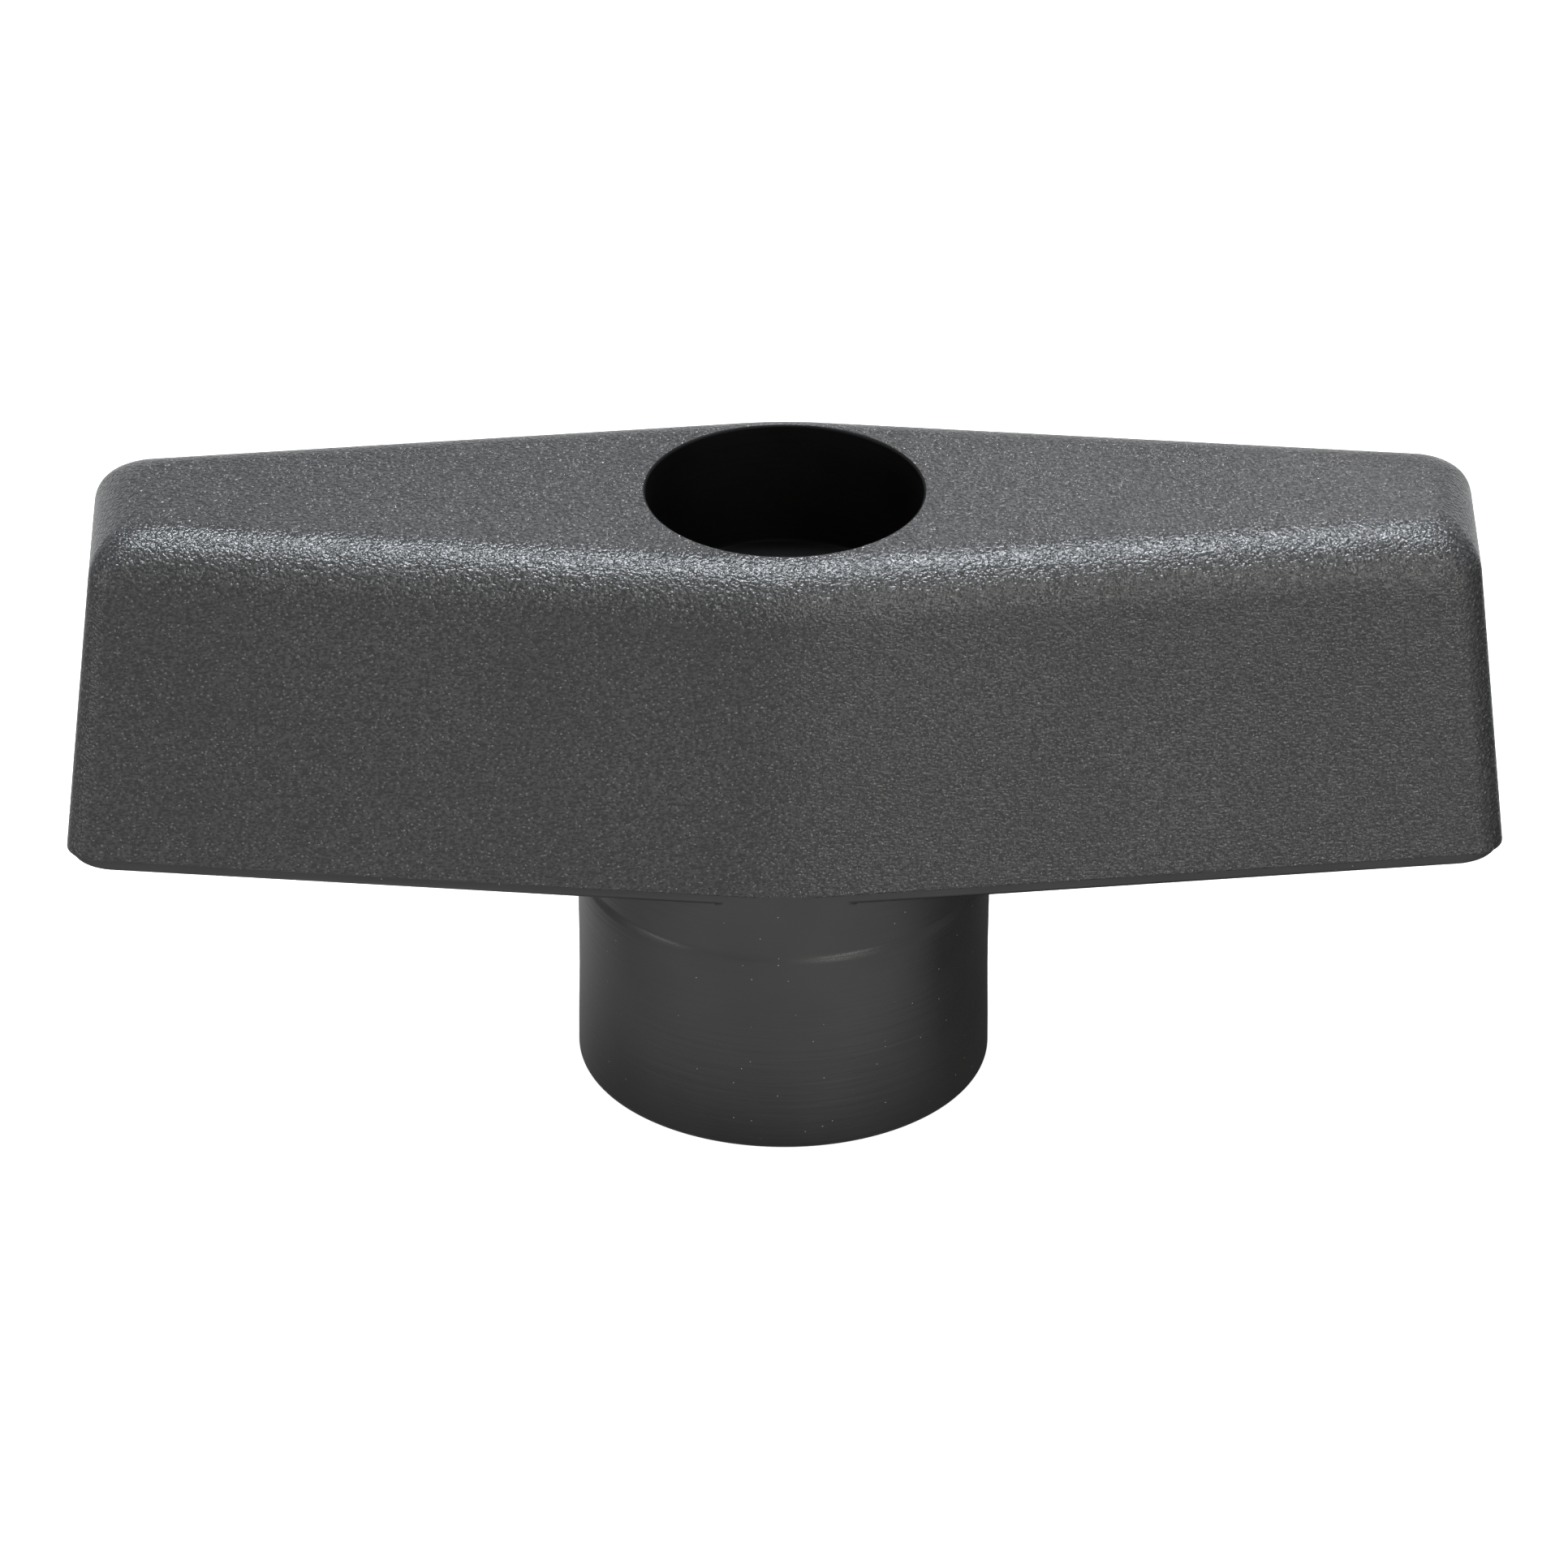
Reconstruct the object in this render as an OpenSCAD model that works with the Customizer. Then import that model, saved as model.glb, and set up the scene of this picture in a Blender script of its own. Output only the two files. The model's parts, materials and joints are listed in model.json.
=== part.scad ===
// T-shaped wing nut: a moulded body with two wings and a hub, and the threaded bush moulded into it.
// Z is the thread axis, pointing up. The origin is where that axis meets the bush's lower face.
// X runs along the wings.

/* [Wings] */
// Length over the two wing tips, at the parting line
wing_l = 80; // [68:1:100]
// Width across each wing tip, at the parting line
wing_tip_w = 13.6; // [12:0.1:18]
// Height of the wings, from their lower rim to the top face
wing_h = 20.3; // [16:0.1:25]
// Draft of the long side faces, in degrees
side_draft = 3.5; // [1:0.5:5]
// Draft of the tip faces, in degrees
tip_draft = 5.6; // [1:0.2:8]
// Radius of the fillet round the top face
top_fillet = 3.2; // [1:0.1:3.6]
// Radius of the four upright corners
corner_r = 1.8; // [0.6:0.1:2.4]
// Radius that blends the two halves of each long side at the middle
blend_r = 20; // [10:1:40]

/* [Lip] */
// Height of the lip below the parting line
lip_h = 0.8; // [0.5:0.1:1.5]
// Distance that the lip steps in from the wall above it
lip_step = 0.15; // [0.05:0.05:0.3]
// Radius of the lip's lower edge
lip_edge_r = 0.5; // [0.2:0.05:0.7]
// Radius of the lip's four corners
lip_corner_r = 2.4; // [1:0.1:3]

/* [Underside] */
// Thickness of the upright walls round the hollow underside
wing_wall = 2.8; // [2:0.1:3.5]
// Thickness of the roof over the hollow underside
wing_roof = 3.2; // [2:0.1:5]
// Radius of the hollow's upright corners
hollow_corner_r = 0.8; // [0.4:0.1:1.5]
// Thickness of the ribs
rib_t = 1.8; // [1.2:0.1:2.5]
// Distance from the lower rim up to the ribs' lower edges
rib_setback = 1.5; // [0:0.5:4]
// Number of cross ribs in each wing
rib_count = 2; // [1:1:3]

/* [Hub] */
// Overall height, from the bush's lower face to the top face
nut_h = 36; // [31:0.5:46]
// Diameter of the hub
hub_d = 23.2; // [20:0.1:29]
// Radius of the hub's lower edge
hub_edge_r = 0.5; // [0.2:0.1:1]
// Distance on the radius that the neck steps in, above the hub
neck_step = 0.12; // [0.05:0.01:0.3]
// Height of the neck between the hub and the wings
neck_h = 3.1; // [1:0.1:4]

/* [Recess] */
// Diameter of the recess in the top face
recess_d = 15.4; // [12:0.1:16.5]
// Depth of the recess
recess_h = 7.4; // [4:0.1:10]
// Radial clearance round the stud, in the hole from the recess down to the bush
stud_clear = 0.25; // [0.1:0.05:0.5]

/* [Bush] */
// Nominal diameter of the thread
thread_d = 10; // [8:1:12]
// Pitch of the thread
thread_pitch = 1.5; // [1:0.25:1.75]
// Radial clearance of the thread's lead-in over its nominal radius
lead_in_clear = 0.2; // [0.1:0.1:0.4]
// Wall of the bush's collar, outside the lead-in
bush_wall = 2.3; // [2:0.1:3]
// Length of the bush
bush_l = 20; // [16:0.5:24]
// Height by which the bush stands out of the hub
bush_proud = 0.3; // [0.1:0.1:0.6]
// Height of the plain collar at the bush's lower end
collar_h = 3; // [2:0.5:4]
// Distance on the radius from the collar in to the knurls' tips
knurl_step = 0.15; // [0.05:0.05:0.3]
// Depth of the knurls
knurl_depth = 0.4; // [0.2:0.05:0.6]
// Number of teeth round each knurl
knurl_teeth = 36; // [24:2:48]
// Width of the groove between the two knurls
groove_w = 3; // [2:0.5:5]
// Distance on the radius from the collar in to the groove and to the nose
groove_depth = 0.9; // [0.7:0.1:1.2]
// Height of the plain nose at the bush's upper end
nose_h = 0.8; // [0.6:0.1:2]
// Size of the bevels on the bush's outer edges
bush_bevel = 0.4; // [0.2:0.1:0.6]

/* [Hidden] */

// Overlap of a cut past the face that it opens
cut = 1;
// Steps along a tip corner, the middle blend, the top fillet and the lip's edge
corner_steps = 6;
blend_steps = 6;
fillet_steps = 8;
lip_steps = 4;

// Heights
wing_z = nut_h - wing_h;
parting_z = wing_z + lip_h;
fillet_z = nut_h - top_fillet;
roof_z = nut_h - wing_roof;
recess_z = nut_h - recess_h;
neck_z = wing_z - neck_h;
// The neck ends just under the parting line, where the wall above is wider than the neck
neck_top_z = parting_z - lip_step / 2;

// The wings' middle is as wide as the neck under it
neck_r = hub_d / 2 - neck_step;
// Angle in plan between half of a long side and the X axis, with the rounded middle allowed for
side_angle = taper(0, 5);
// Radii of the thread, and of what is built round it
minor_r = (thread_d - 5 / 8 * sqrt(3) * thread_pitch) / 2;
lead_in_r = thread_d / 2 + lead_in_clear;
stud_hole_r = thread_d / 2 + stud_clear;
collar_r = lead_in_r + bush_wall;
knurl_tip_r = collar_r - knurl_step;
knurl_root_r = knurl_tip_r - knurl_depth;
core_r = collar_r - groove_depth;

// Finds the side angle by repetition, because the rounded middle cuts the corner back a little
function taper(a, n) =
    n == 0 ? a : taper(atan((neck_r + blend_cut(a, blend_r) - wing_tip_w / 2) / (wing_l / 2)), n - 1);

// How far a rounded corner lies inside the sharp corner of two sides at angle a to the X axis
function blend_cut(a, r) = r * (1 / cos(a) - 1);

// Distance that a drafted wall has leant in at height z, with the top fillet
function lean(z, draft) =
    let (start_z = fillet_z + top_fillet * sin(draft))
    let (up = z - fillet_z)
    z <= start_z
        ? (z - parting_z) * tan(draft)
        : (start_z - parting_z) * tan(draft) + top_fillet * cos(draft)
            - sqrt(max(0, top_fillet * top_fillet - up * up));

// One quarter of the plan outline, from the tip round to the middle of the long side
function quarter(half_l, half_mid, tip_r, mid_r) =
    let (corner_x = half_l - tip_r)
    let (apex_y = half_mid + blend_cut(side_angle, mid_r))
    let (corner_y = apex_y - corner_x * tan(side_angle) - tip_r / cos(side_angle))
    concat(
        [for (i = [0 : corner_steps])
            let (a = (90 - side_angle) * i / corner_steps)
            [corner_x + tip_r * cos(a), corner_y + tip_r * sin(a)]],
        [for (i = [0 : blend_steps])
            let (a = 90 - side_angle + side_angle * i / blend_steps)
            [mid_r * cos(a), half_mid - mid_r + mid_r * sin(a)]]);

// The whole outline, anticlockwise from above, without repeated points
function outline(half_l, half_mid, tip_r, mid_r) =
    let (q = quarter(half_l, half_mid, tip_r, mid_r))
    let (last = len(q) - 1)
    concat(
        q,
        [for (i = [last - 1 : -1 : 0]) [-q[i].x, q[i].y]],
        [for (p = q) [-p.x, -p.y]],
        [for (i = [last - 1 : -1 : 0]) [q[i].x, -q[i].y]]);

// One level of the wings: [height, outline], pulled in all round by inset
function level(z, inset, tip_r) =
    [z, outline(
        wing_l / 2 - lean(z, tip_draft) - inset,
        neck_r - lean(z, side_draft) - inset,
        tip_r,
        blend_r - inset)];

// Levels of the lip, of the wall at the parting line, and of the fillet up to the top face
outer_levels = concat(
    [for (i = [0 : lip_steps])
        let (a = 90 * i / lip_steps)
        level(wing_z + lip_edge_r * (1 - cos(a)), lip_step + lip_edge_r * (1 - sin(a)), lip_corner_r)],
    [level(parting_z - lip_step, lip_step, lip_corner_r)],
    [level(parting_z, 0, corner_r)],
    [for (i = [0 : fillet_steps])
        let (a = side_draft + (90 - side_draft) * i / fillet_steps)
        level(fillet_z + top_fillet * sin(a), 0, corner_r)]);

hollow_levels = [
    level(wing_z - cut, wing_wall, hollow_corner_r),
    level(roof_z, wing_wall, hollow_corner_r)
];

// Solid through a list of levels, closed at both ends
module loft(levels) {
    n = len(levels[0][1]);
    count = len(levels);
    polyhedron(
        points = [for (l = levels) for (p = l[1]) [p.x, p.y, l[0]]],
        faces = concat(
            [[for (i = [0 : n - 1]) i]],
            [for (k = [0 : count - 2]) for (i = [0 : n - 1])
                [k * n + i, (k + 1) * n + i, (k + 1) * n + (i + 1) % n, k * n + (i + 1) % n]],
            [[for (i = [n - 1 : -1 : 0]) (count - 1) * n + i]]));
}

// Cross ribs, evenly spaced from the column round the bush out to the tip's wall
module ribs() {
    run = wing_l / 2 - wing_wall - neck_r;
    rib_z = wing_z + rib_setback;
    for (side = [-1, 1])
        for (i = [1 : rib_count])
            translate([side * (neck_r + run * i / (rib_count + 1)) - rib_t / 2, -hub_d, rib_z])
                cube([rib_t, 2 * hub_d, roof_z - rib_z + cut]);
}

// What is left open under the wings, between the walls, the ribs and the column round the bush
module hollow() {
    difference() {
        loft(hollow_levels);
        translate([0, 0, wing_z - 2 * cut])
            cylinder(r = neck_r, h = wing_h + cut, $fn = 128);
        ribs();
    }
}

// Half section of the hub and its neck: [radius, height]
function hub_section() =
    concat(
        [[0, bush_proud]],
        [for (i = [0 : lip_steps])
            let (a = 90 * i / lip_steps)
            [hub_d / 2 - hub_edge_r * (1 - sin(a)), bush_proud + hub_edge_r * (1 - cos(a))]],
        [[hub_d / 2, neck_z - neck_step], [neck_r, neck_z], [neck_r, neck_top_z], [0, neck_top_z]]);

module hub() {
    rotate_extrude($fn = 128) polygon(hub_section());
}

// Recess and clear hole above the bush
module top_openings() {
    translate([0, 0, recess_z])
        cylinder(d = recess_d, h = recess_h + cut, $fn = 96);
    translate([0, 0, bush_l - cut])
        cylinder(r = stud_hole_r, h = recess_z - bush_l + 2 * cut, $fn = 96);
}

// Cross-section of a straight knurl: pointed teeth, all inside the collar
module knurl_section() {
    polygon([for (i = [0 : 2 * knurl_teeth - 1])
        let (r = i % 2 == 0 ? knurl_tip_r : knurl_root_r)
        let (a = 180 * i / knurl_teeth)
        [r * cos(a), r * sin(a)]]);
}

// Outside of the bush: a collar, then two knurls with a groove between them, and a nose
module bush_blank() {
    knurl_h = (bush_l - collar_h - groove_w - nose_h) / 2;
    cylinder(r1 = collar_r - bush_bevel, r2 = collar_r, h = bush_bevel, $fn = 96);
    translate([0, 0, bush_bevel])
        cylinder(r = collar_r, h = collar_h - bush_bevel, $fn = 96);
    translate([0, 0, collar_h])
        linear_extrude(knurl_h) knurl_section();
    translate([0, 0, collar_h])
        cylinder(r = core_r, h = bush_l - collar_h - bush_bevel, $fn = 96);
    translate([0, 0, collar_h + knurl_h + groove_w])
        linear_extrude(knurl_h) knurl_section();
    translate([0, 0, bush_l - bush_bevel])
        cylinder(r1 = core_r, r2 = core_r - bush_bevel, h = bush_bevel, $fn = 96);
}

// Bore of the thread at its minor diameter, with a lead-in at each end
module thread_bore() {
    lead_in_h = lead_in_r - minor_r;
    translate([0, 0, -cut])
        cylinder(r = minor_r, h = bush_l + 2 * cut, $fn = 96);
    translate([0, 0, -cut])
        cylinder(r1 = lead_in_r + cut, r2 = minor_r, h = lead_in_h + cut, $fn = 96);
    translate([0, 0, bush_l - lead_in_h])
        cylinder(r1 = minor_r, r2 = lead_in_r + cut, h = lead_in_h + cut, $fn = 96);
}

module wing_body() {
    color("#47484b")
        difference() {
            union() {
                difference() {
                    loft(outer_levels);
                    hollow();
                }
                hub();
            }
            top_openings();
            bush_blank();
        }
}

module threaded_bush() {
    color("#b5944a")
        difference() {
            bush_blank();
            thread_bore();
        }
}

wing_body();
threaded_bush();
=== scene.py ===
"""T-shaped wing nut: a grained moulded body and the threaded brass bush in its hub, on a pale studio floor.

Pieces are shaped in millimetres in the frame of the CAD model, and brought to metres when they are finished.
"""

import json
import logging
import math
from collections.abc import Callable, Iterator, Sequence
from contextlib import contextmanager
from dataclasses import dataclass, field
from enum import Enum

import bmesh
import bpy
from mathutils import Matrix, Vector

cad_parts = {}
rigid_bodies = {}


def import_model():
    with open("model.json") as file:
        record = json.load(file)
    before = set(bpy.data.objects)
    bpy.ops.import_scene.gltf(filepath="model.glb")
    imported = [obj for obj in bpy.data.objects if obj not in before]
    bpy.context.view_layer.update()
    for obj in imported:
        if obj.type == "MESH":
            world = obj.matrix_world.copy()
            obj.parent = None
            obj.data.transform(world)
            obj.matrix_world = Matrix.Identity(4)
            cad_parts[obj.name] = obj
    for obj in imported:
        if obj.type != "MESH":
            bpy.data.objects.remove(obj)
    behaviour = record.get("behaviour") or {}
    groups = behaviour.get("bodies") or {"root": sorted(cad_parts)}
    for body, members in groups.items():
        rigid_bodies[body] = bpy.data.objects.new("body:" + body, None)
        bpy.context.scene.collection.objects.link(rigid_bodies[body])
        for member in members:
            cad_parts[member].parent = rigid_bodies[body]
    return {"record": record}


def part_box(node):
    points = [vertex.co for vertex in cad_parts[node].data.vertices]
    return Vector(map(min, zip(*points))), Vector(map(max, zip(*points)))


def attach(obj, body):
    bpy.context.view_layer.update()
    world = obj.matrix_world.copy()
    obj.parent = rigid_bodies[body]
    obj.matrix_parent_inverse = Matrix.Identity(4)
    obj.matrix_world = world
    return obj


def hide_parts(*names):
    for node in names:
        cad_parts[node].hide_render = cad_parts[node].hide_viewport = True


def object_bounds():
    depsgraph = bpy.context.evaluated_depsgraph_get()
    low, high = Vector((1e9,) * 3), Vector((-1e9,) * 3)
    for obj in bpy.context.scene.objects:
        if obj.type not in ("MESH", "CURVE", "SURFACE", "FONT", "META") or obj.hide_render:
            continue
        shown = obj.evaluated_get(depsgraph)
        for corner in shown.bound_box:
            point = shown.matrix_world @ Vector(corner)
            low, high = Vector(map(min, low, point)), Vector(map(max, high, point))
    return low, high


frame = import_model()
CAD_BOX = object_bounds()

MM_PER_M = 1000.0
BODY = "root"
MERGE_MM = 0.0005
FLAT_CREASE = 30.0
CORNER_WEIGHT = 80
MIX_NUMBER_INPUTS = (0, 2, 3)
MIX_COLOUR_INPUTS = (0, 6, 7)
MIX_COLOUR_OUTPUT = 2
log = logging.getLogger("wing_nut")

Span = tuple[float, float]
Colour = tuple[float, float, float, float]
FULL: Span = (0.0, 1.0)
BLACK: Colour = (0.0, 0.0, 0.0, 1.0)
WHITE: Colour = (1.0, 1.0, 1.0, 1.0)


class Slot(Enum):
    """Material slots of the record."""

    PLASTIC = "moulded_plastic"
    BRASS = "bush_brass"


class Skin(Enum):
    """Places of the finishes in the moulded body's material list."""

    GRAIN = 0
    SMOOTH = 1
    # Painted shade: the darker copy of the plastic inside the recess.
    CORE = 2


def mount_radius(name: str) -> float:
    """Radius of a mount of the record.

    Args:
        name: The mount's name.

    Returns:
        The radius in millimetres.
    """
    mounts = {mount["name"]: mount for mount in frame["record"]["mounts"]}
    return mounts[name]["dims"]["r_mm"]


def box_mm(node: str) -> tuple[Vector, Vector]:
    """Corners of a CAD node.

    Args:
        node: The node's name.

    Returns:
        The lowest and the highest corner in millimetres.
    """
    low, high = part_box(node)
    return Vector(low) * MM_PER_M, Vector(high) * MM_PER_M


def arc(steps: int, start: float = 0.0, stop: float = 90.0) -> list[float]:
    """Angles that are evenly spaced along an arc.

    Args:
        steps: Number of steps from the first angle to the last.
        start: First angle in degrees.
        stop: Last angle in degrees.

    Returns:
        The angles in radians, both ends included.
    """
    return [math.radians(start + (stop - start) * i / steps) for i in range(steps + 1)]


def rounding(radius: float, steps: int, start: float = 0.0, stop: float = 90.0) -> list[Span]:
    """Steps along a rounded edge, from one face to the other.

    Args:
        radius: Radius of the edge.
        steps: Number of steps.
        start: First angle in degrees.
        stop: Last angle in degrees.

    Returns:
        The distance from the first face and from the second face at each step.
    """
    return [(radius * (1 - math.cos(a)), radius * (1 - math.sin(a))) for a in arc(steps, start, stop)]


def heading(turn: float, rise: float) -> Vector:
    """Direction from the object towards the studio.

    Args:
        turn: Turn from the front towards the right, in degrees.
        rise: Rise above the floor, in degrees.

    Returns:
        The direction, one unit long.
    """
    across = math.cos(math.radians(rise))
    side = across * math.sin(math.radians(turn))
    back = -across * math.cos(math.radians(turn))
    return Vector((side, back, math.sin(math.radians(rise))))


class Workpiece:
    """A mesh that is being shaped, in millimetres."""

    def __init__(self, name: str) -> None:
        """Take over the primitive that was just added.

        Args:
            name: The piece's name.
        """
        self.shape = bpy.context.active_object
        self.shape.name = name
        self.shape.data.name = name

    @staticmethod
    def clear() -> None:
        """Leave nothing selected, so that no step reaches another object."""
        for other in bpy.context.view_layer.objects:
            other.select_set(False)

    def hold(self) -> None:
        """Select this piece alone, and make it the active one."""
        self.clear()
        bpy.context.view_layer.objects.active = self.shape
        self.shape.select_set(True)

    @classmethod
    def disc(cls, name: str, corners: int, radius: float = 1.0) -> "Workpiece":
        """Add a flat round face at the origin.

        Args:
            name: The piece's name.
            corners: Number of corners.
            radius: Its radius.

        Returns:
            The new piece.
        """
        cls.clear()
        bpy.ops.mesh.primitive_circle_add(vertices=corners, radius=radius, fill_type="NGON")
        return cls(name)

    @classmethod
    def block(cls, name: str, low: Vector, high: Vector) -> "Workpiece":
        """Add a block between two corners.

        Args:
            name: The piece's name.
            low: The lowest corner.
            high: The highest corner.

        Returns:
            The new piece.
        """
        cls.clear()
        bpy.ops.mesh.primitive_cube_add(size=1.0)
        piece = cls(name)
        with piece.editing():
            piece.stretch(high - low)
            piece.slide((low + high) / 2)
        return piece

    @contextmanager
    def editing(self) -> Iterator[None]:
        """Open the piece in edit mode with all of it selected, and close it again."""
        self.hold()
        bpy.ops.object.mode_set(mode="EDIT")
        bpy.ops.mesh.select_mode(type="VERT")
        bpy.ops.mesh.select_all(action="SELECT")
        yield
        bpy.ops.object.mode_set(mode="OBJECT")

    def _mark(self, chosen: Callable[[bmesh.types.BMVert], bool]) -> None:
        """Select points of the mesh that is open in edit mode, and no others.

        Args:
            chosen: Says whether a point is selected.
        """
        mesh = bmesh.from_edit_mesh(self.shape.data)
        for point in mesh.verts:
            point.select_set(chosen(point))
        mesh.select_flush_mode()
        bmesh.update_edit_mesh(self.shape.data)

    def pick_points(self, wanted: Callable[[Vector], bool]) -> None:
        """Select points by their place.

        Args:
            wanted: Says whether a point is selected.
        """
        bpy.ops.mesh.select_mode(type="VERT")
        self._mark(lambda point: wanted(point.co))

    @contextmanager
    def among(self, wanted: Callable[[Vector], bool]) -> Iterator[None]:
        """Work on some of the selected points, and select all of them again afterwards.

        Args:
            wanted: Says whether a selected point stays selected.
        """
        mesh = bmesh.from_edit_mesh(self.shape.data)
        held = {point.index for point in mesh.verts if point.select}
        self._mark(lambda point: point.index in held and wanted(point.co))
        yield
        self._mark(lambda point: point.index in held)

    def slide(self, way: Sequence[float]) -> None:
        """Move the selection by a vector."""
        bpy.ops.transform.translate(value=tuple(way))

    def stretch(self, factors: Sequence[float]) -> None:
        """Scale the selection about the origin, by a factor for each axis."""
        bpy.ops.transform.resize(value=tuple(factors), center_override=(0.0, 0.0, 0.0))

    def lift(self, height: float) -> None:
        """Extrude the selected face upwards."""
        bpy.ops.mesh.extrude_region_move(TRANSFORM_OT_translate={"value": (0.0, 0.0, height)})

    def round_points(self, width: float, steps: int, profile: float) -> None:
        """Round the selected corners of a flat face."""
        bpy.ops.mesh.bevel(offset=width, segments=steps, profile=profile, affect="VERTICES")

    def face_outwards(self) -> None:
        """Turn every face outwards."""
        bpy.ops.mesh.select_all(action="SELECT")
        bpy.ops.mesh.normals_make_consistent(inside=False)

    def apply(self, kind: str, **settings: object) -> None:
        """Add a modifier and apply it.

        Args:
            kind: The modifier's type.
            **settings: Its properties.
        """
        self.hold()
        step = self.shape.modifiers.new(kind.lower(), kind)
        for key, value in settings.items():
            setattr(step, key, value)
        bpy.ops.object.modifier_apply(modifier=step.name)

    def _combine(self, other: "Workpiece", operation: str) -> None:
        """Combine with another solid, which is used up."""
        self.apply("BOOLEAN", operation=operation, solver="EXACT", object=other.shape)
        bpy.data.objects.remove(other.shape)

    def cut(self, other: "Workpiece") -> None:
        """Take another solid away, which is used up."""
        self._combine(other, "DIFFERENCE")

    def weld(self, other: "Workpiece") -> None:
        """Add another solid, which is used up."""
        self._combine(other, "UNION")

    def coat(self, skins: Sequence[bpy.types.Material], place: int = 0) -> None:
        """Give the piece a list of materials, and all its faces one of them.

        Args:
            skins: The materials.
            place: Which of them the faces show.
        """
        for skin in skins:
            self.shape.data.materials.append(skin)
        for face in self.shape.data.polygons:
            face.material_index = place

    def tidy(self) -> None:
        """Merge doubled points and turn the faces outwards."""
        with self.editing():
            bpy.ops.mesh.remove_doubles(threshold=MERGE_MM)
            bpy.ops.mesh.dissolve_degenerate(threshold=MERGE_MM)
            self.face_outwards()

    def finish(self, crease: float = FLAT_CREASE) -> bpy.types.Object:
        """Bring the piece to metres and shade it smooth up to an angle.

        Args:
            crease: Angle in degrees from which an edge stays sharp.

        Returns:
            The finished object, at the origin and unscaled.
        """
        self.hold()
        self.shape.scale = (1 / MM_PER_M,) * 3
        bpy.ops.object.transform_apply(location=True, rotation=True, scale=True)
        bpy.ops.object.shade_smooth_by_angle(angle=math.radians(crease))
        self.apply("WEIGHTED_NORMAL", weight=CORNER_WEIGHT, keep_sharp=True)
        return self.shape


@dataclass(frozen=True)
class Ring:
    """One ring of a turned shape: its radius and height, and the depth of the teeth cut into it."""

    radius: float
    height: float
    tooth: float = 0.0


class Lathe:
    """Makes turned solids, ring by ring."""

    @staticmethod
    def turn(name: str, rings: Sequence[Ring], sides: int, teeth: int = 1) -> Workpiece:
        """Turn a closed solid about the Z axis.

        Args:
            name: The piece's name.
            rings: Its rings from one end to the other.
            sides: Number of points round each ring.
            teeth: Number of teeth round a ring that has them.

        Returns:
            The new piece, with a flat face at both ends.
        """
        piece = Workpiece.disc(name, sides, rings[0].radius)
        classes = max(1, sides // teeth)
        with piece.editing():
            piece.slide((0.0, 0.0, rings[0].height))
            for below, above in zip(rings, rings[1:]):
                piece.lift(above.height - below.height)
                if below.tooth == above.tooth == 0.0:
                    growth = above.radius / below.radius
                    piece.stretch((growth, growth, 1.0))
                    continue
                for place in range(classes):
                    depth = 1 - abs(2 * place / classes - 1)
                    growth = (above.radius - depth * above.tooth) / (below.radius - depth * below.tooth)
                    with piece.among(lambda co, place=place: Lathe.place_of(co, sides) % classes == place):
                        piece.stretch((growth, growth, 1.0))
            piece.face_outwards()
        return piece

    @staticmethod
    def place_of(point: Vector, sides: int) -> int:
        """Number of a point round its ring, counted from the X axis."""
        return round(math.atan2(point.y, point.x) / (2 * math.pi) * sides) % sides


@dataclass(frozen=True)
class Level:
    """One level of the wings: its height, and how far its tips and its sides are pulled in."""

    height: float
    tip_in: float
    side_in: float


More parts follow.
